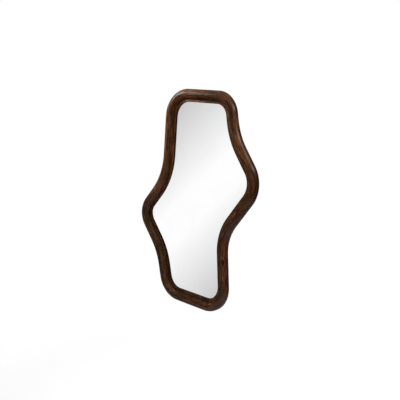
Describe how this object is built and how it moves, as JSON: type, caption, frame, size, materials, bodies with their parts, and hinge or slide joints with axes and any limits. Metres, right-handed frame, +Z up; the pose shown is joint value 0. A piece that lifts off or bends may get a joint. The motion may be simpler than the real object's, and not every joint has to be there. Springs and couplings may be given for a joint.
{
  "type": "wavy wall mirror",
  "caption": "Tall wall mirror with a wavy outline in a half-round dark wood bar with a stepped inner ledge, hung by D rings on its back.",
  "frame": {"origin": "on the wall plane, behind the middle of the outline", "axes": "+X to the right seen from the front, +Y into the wall, +Z up; the glass faces -Y"},
  "size_m": [0.7028, 0.042, 1.0024],
  "materials": {
    "dark_wood": "satin lacquered dark brown hardwood with grain along the bar",
    "dowel_wood": "plain beech",
    "mirror": "silvered float glass with arrissed edges",
    "board": "bare fibreboard",
    "foam_tape": "double-sided foam",
    "rubber": "matt black rubber",
    "strap_steel": "zinc plated strip",
    "ring_steel": "zinc plated wire",
    "screw_steel": "zinc plated"
  },
  "bodies": {
    "frame": {"back_board": "board", "board_screws": "screw_steel", "bumper_bottom_left": "rubber", "bumper_bottom_right": "rubber", "bumper_top_left": "rubber", "bumper_top_right": "rubber", "dowels": "dowel_wood", "frame_bottom_left": "dark_wood", "frame_bottom_right": "dark_wood", "frame_left_bulge": "dark_wood", "frame_left_lower_waist": "dark_wood", "frame_left_upper_waist": "dark_wood", "frame_right_bulge": "dark_wood", "frame_right_lower_waist": "dark_wood", "frame_right_upper_waist": "dark_wood", "frame_top_left": "dark_wood", "frame_top_right": "dark_wood", "hanger_screw_left": "screw_steel", "hanger_screw_right": "screw_steel", "hanger_strap_left": "strap_steel", "hanger_strap_right": "strap_steel", "mirror_glass": "mirror", "tape_left": "foam_tape", "tape_left_bulge": "foam_tape", "tape_right": "foam_tape", "tape_right_bulge": "foam_tape"},
    "ring_left": {"hanger_ring_left": "ring_steel"},
    "ring_right": {"hanger_ring_right": "ring_steel"}
  },
  "joints": [
    {"name": "ring_left_swing", "type": "hinge", "parent": "frame", "child": "ring_left", "pos_m": [-0.16416, -0.00324, 0.33524], "axis": [1, 0, 0], "range_deg": [-2, 182]},
    {"name": "ring_right_swing", "type": "hinge", "parent": "frame", "child": "ring_right", "pos_m": [0.23011, -0.00324, 0.33524], "axis": [1, 0, 0], "range_deg": [-2, 182]}
  ]
}
